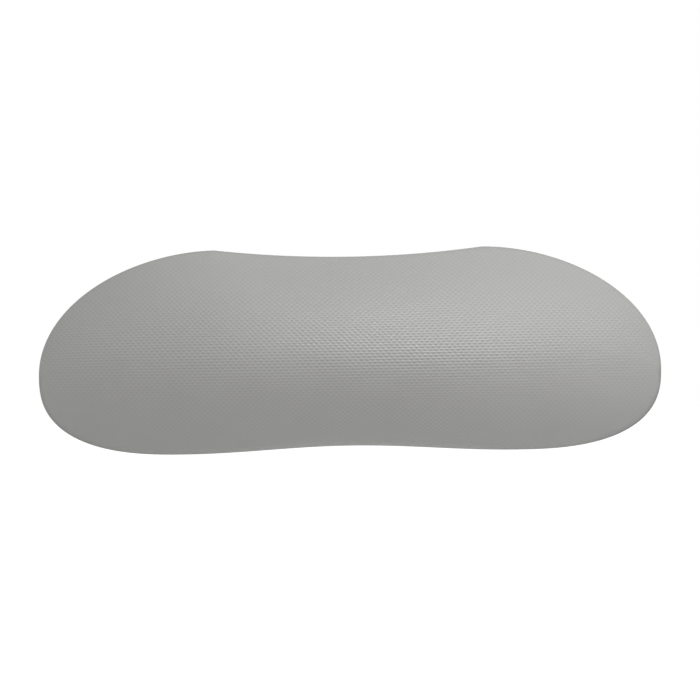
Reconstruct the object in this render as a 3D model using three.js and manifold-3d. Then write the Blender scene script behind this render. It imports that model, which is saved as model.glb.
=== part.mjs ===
import * as THREE from 'three';
import { mergeVertices } from 'three/addons/utils/BufferGeometryUtils.js';
import Module from 'manifold-3d';

// Bath pillow: a crowned foam pillow with a dog-bone outline, in a moulded skin, held by four suction cups.
// Millimetres. X runs along the width, Z is up and the face looks along -Y.
// The wall that the cups stick to is the plane y = 0, and the origin is the middle of the pillow on it.
// A height is measured from the pillow's flat back towards the face.

// Front outline, with Z measured from the middle of the pillow
const WIDTH = 390;
const EAR_SPAN = 167.6;
const EAR_Z = 64.5;
const WAIST_TOP_Z = 59.3;
const LOBE_SPAN = 209.8;
const LOBE_Z = -63;
const WAIST_BOTTOM_Z = -58.9;
const TIP_Z = -12.8;
const SHOULDER_POWER = 1.86;
const CORNER_POWER = 2.57;

// Crown of the face: a ridge that droops towards the tips, with a fuller slope below it than above
const CREST_HEIGHT = 58;
const CREST_POWER = 0.75;
const RIDGE_INSET = 6;
const RIDGE_Z = -5.5;
const RIDGE_DROP = 6.5;
const RIDGE_POWER = 3;
const RIDGE_SOFTNESS = 0.18;
const EDGE_WAIST = 12;
const EDGE_TIP = 8.5;
const EDGE_POWER = 1.5;
const UPPER_BEND = 1.5;
const UPPER_FALL = 1.12;
const LOWER_BEND = 1.8;
const LOWER_FALL = 0.75;

// Middle line that the flat faces of the back close on
const MIDDLE_SPAN = 270;

// Skin and rear edge
const SKIN = 2;
const REAR_RADIUS = 7;
const LIP_WIDTH = 6;

// Back panel, with a flange lapped under the skin's lip
const LAP = 1.9;
const LAP_WIDTH = 5;

// Wells that the cups fold into
const WELL_CLEARANCE = 3;
const WELL_DRAFT = 1;
const WELL_DEPTH = 7;
const WELL_WALL = 2;
const WELL_MARGIN = 4;
const UPPER_SPAN = 160;
const LOWER_SPAN = 216;

// Stiffener plate
const PLATE = 3;
const PLATE_INSET = 20;
const KEY_HOLE_RADIUS = 12;
const KEY_HOLE_PITCH = 40;
const KEY_HOLE_COUNT = 3;
const RIB_HEIGHT = 5;
const RIB_WIDTH = 2;
const RIB_LENGTH = 116;
const RIB_SPACING = 32;

// Cup sockets
const BARREL_WALL = 1.5;
const CATCH = 1.3;
const CATCH_HEIGHT = 1.7;
const FLANGE = 2;
const FLANGE_WIDTH = 4.8;
const CAN_WALL = 2.6;
const CAN_END = 2;
const HEAD_CLEARANCE = 1.7;
const MOUTH_LENGTH = 5.5;
const MOUTH_FLARE = 1;
const SLIT_WIDTH = 1.4;
const SLIT_LENGTH = 4;

// Suction cups
const STAND_OFF = 5;
const CUP_RADIUS = 17;
const RIM_LAND = 2;
const RIM = 0.9;
const DISH_DEPTH = 5.5;
const DISH_THICKENING = 1.2;
const HUB_RADIUS = 6.5;
const NECK_RADIUS = 4.2;
const HEAD_RADIUS = 6.3;
const HEAD_LENGTH = 7.4;
const HEAD_SKIRT = 1.3;
const HEAD_TIP_RADIUS = 3.4;
const TAB_REACH = 6.5;
const TAB_WIDTH = 9;
const TAB = 1;
const TAB_LIFT = 0.3;

// Fits
const GAP = 0.3;
const TURNING_GAP = 0.45;
const SEAT_GAP = 0.4;

// Facets
const WAIST_STEPS = 4;
const END_STEPS = 8;
const CROWN_STEPS = 7;
const CROWN_SPREAD = 1.3;
const SOCKET_SIDES = 18;
const CUP_SIDES = 28;
const WELL_SIDES = 26;
const TAB_SIDES = 8;
const DISH_STEPS = 5;
const CUT_OVERRUN = 1;

const wasm = await Module();
wasm.setup();

const halfWidth = WIDTH / 2;
const ridgeSpan = WIDTH - 2 * RIDGE_INSET;
const earX = EAR_SPAN / 2;
const lobeX = LOBE_SPAN / 2;
const yAt = (height) => -STAND_OFF - height;

// Booleans on closed meshes

function weld(geometry) {
  const bare = geometry.index ? geometry.clone() : geometry;
  bare.deleteAttribute('normal');
  bare.deleteAttribute('uv');
  return mergeVertices(bare, 1e-4);
}

function toSolid(geometry) {
  const welded = weld(geometry);
  const kept = [];
  const index = welded.index.array;
  for (let i = 0; i < index.length; i += 3) {
    const [a, b, c] = [index[i], index[i + 1], index[i + 2]];
    if (a !== b && b !== c && c !== a) kept.push(a, b, c);
  }
  const triVerts = Uint32Array.from(kept);
  const vertProperties = Float32Array.from(welded.attributes.position.array);
  const solid = new wasm.Manifold(new wasm.Mesh({ numProp: 3, vertProperties, triVerts }));
  if (solid.volume() > 0) return solid;
  for (let i = 0; i < triVerts.length; i += 3) {
    [triVerts[i], triVerts[i + 1]] = [triVerts[i + 1], triVerts[i]];
  }
  return new wasm.Manifold(new wasm.Mesh({ numProp: 3, vertProperties, triVerts }));
}

function toGeometry(solid) {
  const mesh = solid.getMesh();
  const geometry = new THREE.BufferGeometry();
  geometry.setAttribute('position', new THREE.BufferAttribute(Float32Array.from(mesh.vertProperties), 3));
  geometry.setIndex(new THREE.BufferAttribute(Uint32Array.from(mesh.triVerts), 1));
  geometry.computeVertexNormals();
  return geometry;
}

// Outline of the pillow, seen from the front

function topEdge(x) {
  const reach = Math.abs(x);
  if (reach <= earX) return WAIST_TOP_Z + (EAR_Z - WAIST_TOP_Z) * (reach / earX) ** 2;
  const t = (reach - earX) / (halfWidth - earX);
  return TIP_Z + (EAR_Z - TIP_Z) * Math.sqrt(Math.max(0, 1 - t ** SHOULDER_POWER));
}

function bottomEdge(x) {
  const reach = Math.abs(x);
  if (reach <= lobeX) {
    const swell = (1 - Math.cos((Math.PI * reach) / lobeX)) / 2;
    return WAIST_BOTTOM_Z + (LOBE_Z - WAIST_BOTTOM_Z) * swell;
  }
  const t = (reach - lobeX) / (halfWidth - lobeX);
  return TIP_Z + (LOBE_Z - TIP_Z) * Math.max(0, 1 - t ** CORNER_POWER) ** (1 / CORNER_POWER);
}

// A point under the outline on the ridge or the middle line, which draw in from the tips
function lineAt(x, span) {
  const t = Math.abs(x) / halfWidth;
  const along = x * (1 - (1 - span / WIDTH) * t ** 2);
  return new THREE.Vector2(along, RIDGE_Z - RIDGE_DROP * t ** RIDGE_POWER);
}

function crestHeight(x) {
  const t = Math.abs(x) / halfWidth;
  return EDGE_TIP + (CREST_HEIGHT - EDGE_TIP) * Math.max(0, 1 - t ** 2) ** CREST_POWER;
}

function edgeHeight(x) {
  return EDGE_WAIST + (EDGE_TIP - EDGE_WAIST) * (Math.abs(x) / halfWidth) ** EDGE_POWER;
}

// Height between edge and crest, 0 to 1, at a share of the way from the ridge out to the edge
function crownRise(share, rise) {
  const upper = (1 + rise) / 2;
  const bend = LOWER_BEND + (UPPER_BEND - LOWER_BEND) * upper;
  const fall = LOWER_FALL + (UPPER_FALL - LOWER_FALL) * upper;
  const softened = (s) => (s ** 2 + RIDGE_SOFTNESS ** 2) ** (bend / 2) - RIDGE_SOFTNESS ** bend;
  return Math.max(0, 1 - softened(share) / softened(1)) ** fall;
}

function stations() {
  const half = [];
  for (let i = 0; i < WAIST_STEPS; i++) half.push((earX * i) / WAIST_STEPS);
  for (let i = 0; i <= END_STEPS; i++) {
    half.push(earX + (halfWidth - earX) * Math.sin((Math.PI / 2) * (i / END_STEPS)));
  }
  const left = half.slice(1).map((x) => -x).reverse();
  return [...left, ...half];
}

// Rim points run clockwise from the left tip, over the top and back along the bottom
const rim = (() => {
  const xs = stations();
  const over = xs.map((x) => new THREE.Vector2(x, topEdge(x)));
  const under = xs.slice(1, -1).reverse().map((x) => new THREE.Vector2(x, bottomEdge(x)));
  const points = [...over, ...under];
  return points.map((at, i) => {
    const before = points.at(i - 1);
    const after = points[(i + 1) % points.length];
    const inward = new THREE.Vector2(after.y - before.y, before.x - after.x).normalize();
    const ridge = lineAt(at.x, ridgeSpan);
    const middle = lineAt(at.x, MIDDLE_SPAN);
    const rise = at.clone().sub(ridge).normalize().y;
    return { at, inward, ridge, middle, rise };
  });
})();

const insetPoint = (p, inset) => p.at.clone().addScaledVector(p.inward, inset);

// Rings of a loft: flat at one height, on the middle line, or part of the way up the crown

function flatRing(inset, height) {
  return rim.map((p) => {
    const at = insetPoint(p, inset);
    return new THREE.Vector3(at.x, yAt(height), at.y);
  });
}

function middleRing(height) {
  return rim.map((p) => new THREE.Vector3(p.middle.x, yAt(height), p.middle.y));
}

function crownRing(inset, step) {
  const open = step === CROWN_STEPS ? 0 : Math.cos((Math.PI / 2) * (step / CROWN_STEPS));
  const share = open ** CROWN_SPREAD;
  return rim.map((p) => {
    const at = p.ridge.clone().lerp(insetPoint(p, inset), share);
    const edge = edgeHeight(p.at.x);
    const crest = Math.max(edge, crestHeight(at.x) - inset);
    const height = edge + (crest - edge) * crownRise(share, p.rise);
    return new THREE.Vector3(at.x, yAt(height), at.y);
  });
}

function crownRings(inset) {
  const rings = [];
  for (let step = CROWN_STEPS; step >= 0; step--) rings.push(crownRing(inset, step));
  return rings;
}

// The rear edge rolls round a fillet whose centre is REAR_RADIUS in from the outline and from the back
function rollRings(inset) {
  const radius = REAR_RADIUS - inset;
  return [0, Math.PI / 4, Math.PI / 2].map((turn) =>
    flatRing(REAR_RADIUS - radius * Math.cos(turn), REAR_RADIUS - radius * Math.sin(turn)));
}

function loft(rings) {
  const count = rim.length;
  const positions = rings.flat().flatMap((p) => [p.x, p.y, p.z]);
  const index = [];
  for (let r = 0; r + 1 < rings.length; r++) {
    for (let i = 0; i < count; i++) {
      const j = (i + 1) % count;
      const [a, b] = [r * count + i, r * count + j];
      const [c, d] = [a + count, b + count];
      index.push(a, c, b, b, c, d);
    }
  }
  const geometry = new THREE.BufferGeometry();
  geometry.setAttribute('position', new THREE.Float32BufferAttribute(positions, 3));
  geometry.setIndex(index);
  return toSolid(geometry);
}

// Turned shapes: a profile of [radius, height] pairs about an axis along Y

function turned(profile, sides, centre = new THREE.Vector2()) {
  const points = profile.map(([radius, height]) => new THREE.Vector2(radius, yAt(height)));
  const geometry = new THREE.LatheGeometry(points, sides);
  geometry.translate(centre.x, 0, centre.y);
  return toSolid(geometry);
}

function disc(radius, low, high, sides, centre, topRadius = radius) {
  return turned([[0, low], [radius, low], [topRadius, high], [0, high]], sides, centre);
}

// Straight shapes: an outline in X and Z, extruded from one height to another

function slab(outline, low, high) {
  const geometry = new THREE.ExtrudeGeometry(outline, {
    depth: high - low,
    bevelEnabled: false,
    curveSegments: TAB_SIDES,
  });
  geometry.rotateX(Math.PI / 2);
  geometry.translate(0, yAt(low), 0);
  return toSolid(geometry);
}

function rectangle(centreX, centreZ, length, width) {
  const [x, z] = [length / 2, width / 2];
  const corners = [[-x, -z], [x, -z], [x, z], [-x, z]];
  return new THREE.Shape(corners.map(([dx, dz]) => new THREE.Vector2(centreX + dx, centreZ + dz)));
}

// Places of the cups: each well keeps WELL_MARGIN to the edge of the panel nearest to it

const panelInset = REAR_RADIUS + LIP_WIDTH + GAP;
const wellRadius = CUP_RADIUS + WELL_CLEARANCE;
const wellReach = panelInset + WELL_MARGIN + wellRadius + WELL_WALL;
const cups = [
  { side: -1, row: 'upper', name: 'upper_left' },
  { side: 1, row: 'upper', name: 'upper_right' },
  { side: -1, row: 'lower', name: 'lower_left' },
  { side: 1, row: 'lower', name: 'lower_right' },
].map(({ side, row, name }) => {
  const x = (side * (row === 'upper' ? UPPER_SPAN : LOWER_SPAN)) / 2;
  const z = row === 'upper' ? topEdge(x) - wellReach : bottomEdge(x) + wellReach;
  return { name, centre: new THREE.Vector2(x, z) };
});

// Heights of the stack at a cup, from the panel and the well's floor towards the face

const lapStep = SKIN + GAP;
const panelInner = lapStep + LAP;
const floorInner = WELL_DEPTH + WELL_WALL;
const plateBack = floorInner + GAP;
const plateFront = plateBack + PLATE;
const flangeBack = plateFront + GAP;
const flangeFront = flangeBack + FLANGE;
const catchFront = WELL_DEPTH - GAP;
const catchBack = catchFront - CATCH_HEIGHT;
const neckStart = catchBack - SEAT_GAP;
const mouthEnd = catchBack + MOUTH_LENGTH;
const headStart = mouthEnd + SEAT_GAP;
const headEnd = headStart + HEAD_LENGTH;
const canInner = headEnd + HEAD_CLEARANCE;
const canOuter = canInner + CAN_END;

// Radii of a socket, from the cup's neck and head outwards

const mouthRadius = NECK_RADIUS + TURNING_GAP;
const headRoomRadius = HEAD_RADIUS + TURNING_GAP;
const barrelRadius = headRoomRadius + BARREL_WALL;
const barrelHole = barrelRadius + GAP;
const catchRadius = barrelRadius + CATCH;
const flangeRadius = barrelRadius + FLANGE_WIDTH;
const canRadius = headRoomRadius + CAN_WALL;

// Pieces

// The whole body, offset inwards from the outside of the skin
function bodySolid(inset) {
  return loft([...crownRings(inset), ...rollRings(inset), middleRing(inset)]);
}

const outlineShape = (inset) => new THREE.Shape(rim.map((p) => insetPoint(p, inset)));

function coverSkin() {
  const opening = slab(outlineShape(REAR_RADIUS + LIP_WIDTH), -CUT_OVERRUN, SKIN + CUT_OVERRUN);
  return bodySolid(0).subtract(bodySolid(SKIN)).subtract(opening);
}

function backPanel() {
  const lapInset = panelInset - LAP_WIDTH;
  let panel = loft([
    middleRing(panelInner),
    flatRing(lapInset, panelInner),
    flatRing(lapInset, lapStep),
    flatRing(panelInset, lapStep),
    flatRing(panelInset, 0),
    middleRing(0),
  ]);
  for (const { centre } of cups) {
    panel = panel.add(disc(wellRadius + WELL_WALL, panelInner / 2, floorInner, WELL_SIDES, centre));
  }
  for (const { centre } of cups) {
    const hollow = turned([
      [0, -CUT_OVERRUN],
      [wellRadius, -CUT_OVERRUN],
      [wellRadius, 0],
      [wellRadius - WELL_DRAFT, WELL_DEPTH],
      [0, WELL_DEPTH],
    ], WELL_SIDES, centre);
    const hole = disc(barrelHole, 0, floorInner + CUT_OVERRUN, SOCKET_SIDES, centre);
    panel = panel.subtract(hollow).subtract(hole);
  }
  return panel;
}

function keyHoleCentres() {
  const centres = [];
  for (let i = 0; i < KEY_HOLE_COUNT; i++) {
    centres.push(new THREE.Vector2((i - (KEY_HOLE_COUNT - 1) / 2) * KEY_HOLE_PITCH, 0));
  }
  return centres;
}

function ribOutlines(grow) {
  return [-1, 1].map((side) =>
    rectangle(0, (side * RIB_SPACING) / 2, RIB_LENGTH + 2 * grow, RIB_WIDTH + 2 * grow));
}

// The plate, or the room for it in the foam when it is grown by a gap
function plateSolid(grow) {
  let plate = slab(outlineShape(PLATE_INSET - grow), plateBack - grow, plateFront + grow);
  for (const rib of ribOutlines(grow)) {
    plate = plate.add(slab(rib, plateBack, plateFront + RIB_HEIGHT + grow));
  }
  for (const centre of keyHoleCentres()) {
    const keyHole = disc(
      KEY_HOLE_RADIUS - grow, plateBack - grow - CUT_OVERRUN, plateFront + grow + CUT_OVERRUN,
      SOCKET_SIDES, centre);
    plate = plate.subtract(keyHole);
  }
  return plate;
}

function stiffenerPlate() {
  const ribTop = plateFront + RIB_HEIGHT + CUT_OVERRUN;
  let plate = plateSolid(0);
  for (const { centre } of cups) {
    const hole = disc(barrelHole, plateBack - CUT_OVERRUN, ribTop, SOCKET_SIDES, centre);
    const flangeRoom = disc(flangeRadius + GAP, plateFront, ribTop, SOCKET_SIDES, centre);
    plate = plate.subtract(hole).subtract(flangeRoom);
  }
  return plate;
}

function cupSocket(centre) {
  const body = turned([
    [0, canOuter],
    [canRadius, canOuter],
    [canRadius, flangeFront],
    [flangeRadius, flangeFront],
    [flangeRadius, flangeBack],
    [barrelRadius, flangeBack],
    [barrelRadius, catchFront],
    [catchRadius, catchFront],
    [barrelRadius, catchBack],
    [mouthRadius + MOUTH_FLARE, catchBack],
    [mouthRadius, catchBack + MOUTH_FLARE],
    [mouthRadius, mouthEnd],
    [headRoomRadius, mouthEnd],
    [headRoomRadius, canInner],
    [0, canInner],
  ], SOCKET_SIDES, centre);
  const low = catchBack - CUT_OVERRUN;
  const high = catchBack + SLIT_LENGTH;
  const reach = 2 * (catchRadius + CUT_OVERRUN);
  return body
    .subtract(slab(rectangle(centre.x, centre.y, reach, SLIT_WIDTH), low, high))
    .subtract(slab(rectangle(centre.x, centre.y, SLIT_WIDTH, reach), low, high));
}

function foamCore() {
  const back = panelInner + GAP;
  const behind = slab(rectangle(0, 0, 2 * WIDTH, WIDTH), -CUT_OVERRUN, back);
  let foam = bodySolid(SKIN + GAP).subtract(behind).subtract(plateSolid(GAP));
  for (const { centre } of cups) {
    const wellRoom = disc(
      wellRadius + WELL_WALL + GAP, back - CUT_OVERRUN, plateBack, WELL_SIDES, centre);
    const flangeRoom = disc(flangeRadius + GAP, plateBack, flangeFront + GAP, SOCKET_SIDES, centre);
    const canRoom = disc(canRadius + GAP, plateBack, canOuter + GAP, SOCKET_SIDES, centre);
    foam = foam.subtract(wellRoom).subtract(flangeRoom).subtract(canRoom);
  }
  return foam;
}

// A cup's dish is a shallow bowl: the inside from the rim's land to the middle, the back from rim to hub
function suctionCup(centre) {
  const rimHeight = -STAND_OFF;
  const landRadius = CUP_RADIUS - RIM_LAND;
  const bowl = (radius, full) => DISH_DEPTH * (1 - (radius / full) ** 2);
  const inside = [];
  const back = [];
  for (let i = 0; i <= DISH_STEPS; i++) {
    const innerRadius = (landRadius * i) / DISH_STEPS;
    inside.push([innerRadius, rimHeight + bowl(innerRadius, landRadius)]);
    const outerRadius = CUP_RADIUS + (HUB_RADIUS - CUP_RADIUS) * (i / DISH_STEPS);
    const thickness = RIM + DISH_THICKENING * (1 - outerRadius / CUP_RADIUS);
    back.push([outerRadius, rimHeight + thickness + bowl(outerRadius, CUP_RADIUS)]);
  }
  const dish = turned([
    ...inside,
    [CUP_RADIUS, rimHeight],
    ...back,
    [HUB_RADIUS, neckStart],
    [NECK_RADIUS, neckStart],
    [NECK_RADIUS, headStart],
    [HEAD_RADIUS, headStart],
    [HEAD_RADIUS, headStart + HEAD_SKIRT],
    [HEAD_TIP_RADIUS, headEnd],
    [0, headEnd],
  ], CUP_SIDES, centre);
  return dish.add(pullTab(centre));
}

// The tab by which a cup is peeled off hangs below its rim, a little clear of the wall
function pullTab(centre) {
  const half = TAB_WIDTH / 2;
  const root = centre.y - (CUP_RADIUS - RIM_LAND / 2);
  const tip = centre.y - CUP_RADIUS - TAB_REACH + half;
  const outline = new THREE.Shape();
  outline.moveTo(centre.x + half, root);
  outline.lineTo(centre.x - half, root);
  outline.lineTo(centre.x - half, tip);
  outline.absarc(centre.x, tip, half, Math.PI, 2 * Math.PI, false);
  const low = TAB_LIFT - STAND_OFF;
  return slab(outline, low, low + TAB);
}

// Assembly

const finishes = {
  skin: { color: 0x9c9c9a, roughness: 0.5, metalness: 0 },
  foam: { color: 0xd9d5c8, roughness: 0.95, metalness: 0 },
  panel: { color: 0x8f8f8e, roughness: 0.6, metalness: 0 },
  insert: { color: 0xe4e4de, roughness: 0.45, metalness: 0 },
  cup: { color: 0xdfe6e8, roughness: 0.2, metalness: 0 },
};

const pillow = new THREE.Group();
pillow.name = 'bath_pillow';

function place(name, solid, finish) {
  const mesh = new THREE.Mesh(toGeometry(solid), new THREE.MeshStandardMaterial(finishes[finish]));
  mesh.name = name;
  pillow.add(mesh);
}

place('cover_skin', coverSkin(), 'skin');
place('foam_core', foamCore(), 'foam');
place('back_panel', backPanel(), 'panel');
place('stiffener_plate', stiffenerPlate(), 'insert');
for (const { name, centre } of cups) {
  place(`cup_socket_${name}`, cupSocket(centre), 'insert');
  place(`suction_cup_${name}`, suctionCup(centre), 'cup');
}

export default pillow;
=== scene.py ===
"""Looks of a bath pillow: a crowned foam pillow in a grained skin, held to a wall by four suction cups.

Metres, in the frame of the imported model: X runs along the width, Z is up, the face looks along -Y
and the wall that the cups stick to is y = 0. A height is measured from the flat back towards the face.
"""

import math

import bmesh
import bpy
import numpy as np
from mathutils import Matrix, Vector


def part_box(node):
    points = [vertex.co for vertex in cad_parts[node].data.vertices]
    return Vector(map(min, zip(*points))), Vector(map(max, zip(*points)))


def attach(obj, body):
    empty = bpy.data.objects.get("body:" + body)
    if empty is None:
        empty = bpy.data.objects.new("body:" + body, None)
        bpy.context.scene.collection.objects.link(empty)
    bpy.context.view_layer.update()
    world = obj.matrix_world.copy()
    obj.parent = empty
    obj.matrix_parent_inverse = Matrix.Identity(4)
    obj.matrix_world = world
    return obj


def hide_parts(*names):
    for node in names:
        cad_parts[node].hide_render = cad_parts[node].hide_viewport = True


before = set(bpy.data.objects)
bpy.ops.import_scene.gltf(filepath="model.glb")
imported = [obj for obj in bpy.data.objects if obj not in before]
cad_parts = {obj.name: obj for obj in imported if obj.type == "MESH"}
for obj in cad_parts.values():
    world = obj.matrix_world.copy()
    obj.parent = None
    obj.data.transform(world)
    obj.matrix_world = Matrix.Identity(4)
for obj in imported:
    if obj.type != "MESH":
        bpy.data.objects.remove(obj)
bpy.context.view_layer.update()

# Overall sizes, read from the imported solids
skin_low, skin_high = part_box("cover_skin")
HALF_WIDTH = skin_high.x
EAR_Z = skin_high.z
LOBE_Z = skin_low.z
BACK_Y = skin_high.y

# Front outline
EAR_X = 0.0838
WAIST_TOP_Z = 0.0593
LOBE_X = 0.1049
WAIST_BOTTOM_Z = -0.0589
TIP_Z = -0.0128
SHOULDER_POWER = 1.86
CORNER_POWER = 2.57
EAR_SOFTENING = 0.025
EAR_SMOOTH_STEPS = 40
EAR_EDGE_POWER = 8

# Crown of the face: a ridge that droops towards the tips, with a fuller slope below it than above
CREST_HEIGHT = 0.058
CREST_POWER = 0.75
RIDGE_INSET = 0.006
RIDGE_Z = -0.0055
RIDGE_DROP = 0.0065
RIDGE_POWER = 3.0
RIDGE_SOFTNESS = 0.18
EDGE_WAIST = 0.012
EDGE_TIP = 0.0085
EDGE_POWER = 1.5
EDGE_ROUND = 0.0025
EDGE_ROUND_FALL = 0.0018
EDGE_ROUND_LIMIT = 0.6
UPPER_BEND = 1.5
UPPER_FALL = 1.12
LOWER_BEND = 1.8
LOWER_FALL = 0.75

# Skin and rear edge
SKIN = 0.002
REAR_RADIUS = 0.007
LIP_WIDTH = 0.006
LIP_ROUND = 0.0006
GAP = 0.0003

# Back panel and its wells
LAP = 0.0019
LAP_WIDTH = 0.005
PANEL_ROUND = 0.0006
WELL_RADIUS = 0.020
WELL_DRAFT = 0.001
WELL_DEPTH = 0.007
WELL_WALL = 0.002
WELL_MOUTH_ROUND = 0.0018
WELL_FLOOR_ROUND = 0.002
FLAT_SUPPORT = 0.0008

# Stiffener plate, for the room that the foam leaves it
PLATE = 0.003
PLATE_INSET = 0.020
KEY_HOLE_RADIUS = 0.012
KEY_HOLE_PITCH = 0.040
KEY_HOLE_COUNT = 3
RIB_HEIGHT = 0.005
RIB_WIDTH = 0.002
RIB_LENGTH = 0.116
RIB_SPACING = 0.032

# Cup sockets
BARREL_WALL = 0.0015
CATCH = 0.0013
CATCH_HEIGHT = 0.0017
FLANGE = 0.002
FLANGE_WIDTH = 0.0048
CAN_WALL = 0.0026
CAN_END = 0.002
HEAD_CLEARANCE = 0.0017
MOUTH_LENGTH = 0.0055
MOUTH_FLARE = 0.001
SLIT_WIDTH = 0.0014
SLIT_LENGTH = 0.004
TURNING_GAP = 0.00045
SEAT_GAP = 0.0004
CAN_ROUND = 0.0012
CAN_ROOT_ROUND = 0.0008
CAN_INNER_ROUND = 0.0008
FLANGE_ROUND = 0.0005
BARREL_ROUND = 0.0002
CATCH_ROUND = 0.0003
MOUTH_ROUND = 0.0005
HEAD_ROOM_ROUND = 0.0004

# Suction cups
CUP_RADIUS = 0.017
RIM_LAND = 0.002
RIM = 0.0009
DISH_DEPTH = 0.0055
DISH_THICKENING = 0.0012
HUB_RADIUS = 0.0065
NECK_RADIUS = 0.0042
HEAD_RADIUS = 0.0063
HEAD_LENGTH = 0.0074
HEAD_SKIRT = 0.0013
HEAD_TIP_RADIUS = 0.0034
TAB_REACH = 0.0065
TAB_WIDTH = 0.009
TAB = 0.001
TAB_LIFT = 0.0003
RIM_ROUND = 0.0003
HUB_ROOT_ROUND = 0.0008
HUB_ROUND = 0.0006
NECK_ROUND = 0.0004
HEAD_ROUND = 0.0006
HEAD_TIP_ROUND = 0.0012
TAB_ROUND = 0.0003

# Mesh fineness
WAIST_STEPS = 26
END_STEPS = 46
CROWN_STEPS = 56
INNER_CROWN_STEPS = 14
ROLL_STEPS = 8
FOAM_STRIDE = 2
FOAM_CROWN_STEPS = 28
FOAM_ROLL_STEPS = 3
ROUND_STEPS = 5
LATHE_SIDES = 72
DISH_STEPS = 18
TAB_STEPS = 16
TAB_ROUND_STEPS = 3
SHARP_ANGLE = math.radians(40)

# Limits of mesh building: a fillet's share of a side, a cut's overrun and a length that counts as none
FILLET_SHARE = 0.49
CUT_OVERRUN = 0.001
TINY = 1e-9

# Woven grain of the skin: dashes in rows, both bolder near the ridge and right of the middle. The relief and
# gloss are real. In the colour, the darker valleys are painted shade, and the bolder contrast near the ridge
# and right of the middle is painted light
CELL_PITCH = 0.00168
ROW_PITCH = 0.00181
THREAD_SWAY = 0.00015
SWAY_SCALE = 160.0
SWAY_UP_SHARE = 0.5
GRAIN_END_LOSS = 0.7
GRAIN_BOLD_X = 0.065
GRAIN_BOLD_REACH = 0.075
MIDDLE_HEIGHT = 0.5
DASH_RISE = 0.37
# Dashes sit a fifth of a turn off the rows, so in the colour each dash is lighter on one side than the
# other: painted relief shading
DASH_SHIFT = math.pi / 5
DASH_EDGE_DEPTH = 0.36
DASH_DEEPEST_Z = 0.0115
DASH_REACH = 0.028
DASH_BASE = 0.88
DASH_BOLD_GAIN = 0.12
ROW_RISE = 0.36
ROW_DEEPEST_Z = 0.002
ROW_REACH = 0.028
ROW_BASE = 0.65
ROW_BOLD_GAIN = 0.48

# Painted shade: a darker line at the rim, wider and stronger under the pillow, where the turned edge lies in
# shade
RIM_SHADE_WIDTH = 0.0018
RIM_SHADE_UNDER_FROM = 0.5
RIM_SHADE_UNDER_GAIN = 2.0

# Heights of the stack at a cup, measured from the flat back towards the face. The wall is behind it
WALL = BACK_Y
LAP_STEP = SKIN + GAP
PANEL_INNER = LAP_STEP + LAP
FLOOR_INNER = WELL_DEPTH + WELL_WALL
PLATE_BACK = FLOOR_INNER + GAP
PLATE_FRONT = PLATE_BACK + PLATE
FLANGE_BACK = PLATE_FRONT + GAP
FLANGE_FRONT = FLANGE_BACK + FLANGE
CATCH_FRONT = WELL_DEPTH - GAP
CATCH_BACK = CATCH_FRONT - CATCH_HEIGHT
NECK_START = CATCH_BACK - SEAT_GAP
MOUTH_END = CATCH_BACK + MOUTH_LENGTH
HEAD_START = MOUTH_END + SEAT_GAP
HEAD_END = HEAD_START + HEAD_LENGTH
CAN_INNER = HEAD_END + HEAD_CLEARANCE
CAN_OUTER = CAN_INNER + CAN_END

# Radii of a socket, from the cup's neck and head outwards
MOUTH_RADIUS = NECK_RADIUS + TURNING_GAP
HEAD_ROOM_RADIUS = HEAD_RADIUS + TURNING_GAP
BARREL_RADIUS = HEAD_ROOM_RADIUS + BARREL_WALL
BARREL_HOLE = BARREL_RADIUS + GAP
CATCH_RADIUS = BARREL_RADIUS + CATCH
FLANGE_RADIUS = BARREL_RADIUS + FLANGE_WIDTH
CAN_RADIUS = HEAD_ROOM_RADIUS + CAN_WALL

CUPS = ("upper_left", "upper_right", "lower_left", "lower_right")


def cup_centre(name):
    """Axis of a cup in X and Z, from its socket's box."""
    low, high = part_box("cup_socket_" + name)
    return (low.x + high.x) / 2, (low.z + high.z) / 2


# Outline and crown


def top_edge(x):
    reach = np.abs(x)
    waist = WAIST_TOP_Z + (EAR_Z - WAIST_TOP_Z) * (reach / EAR_X) ** 2
    t = np.clip((reach - EAR_X) / (HALF_WIDTH - EAR_X), 0, 1)
    shoulder = TIP_Z + (EAR_Z - TIP_Z) * np.sqrt(1 - t**SHOULDER_POWER)
    return np.where(reach <= EAR_X, waist, shoulder)


def bottom_edge(x):
    reach = np.abs(x)
    swell = (1 - np.cos(np.pi * reach / LOBE_X)) / 2
    waist = WAIST_BOTTOM_Z + (LOBE_Z - WAIST_BOTTOM_Z) * swell
    t = np.clip((reach - LOBE_X) / (HALF_WIDTH - LOBE_X), 0, 1)
    corner = TIP_Z + (LOBE_Z - TIP_Z) * (1 - t**CORNER_POWER) ** (1 / CORNER_POWER)
    return np.where(reach <= LOBE_X, waist, corner)


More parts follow.
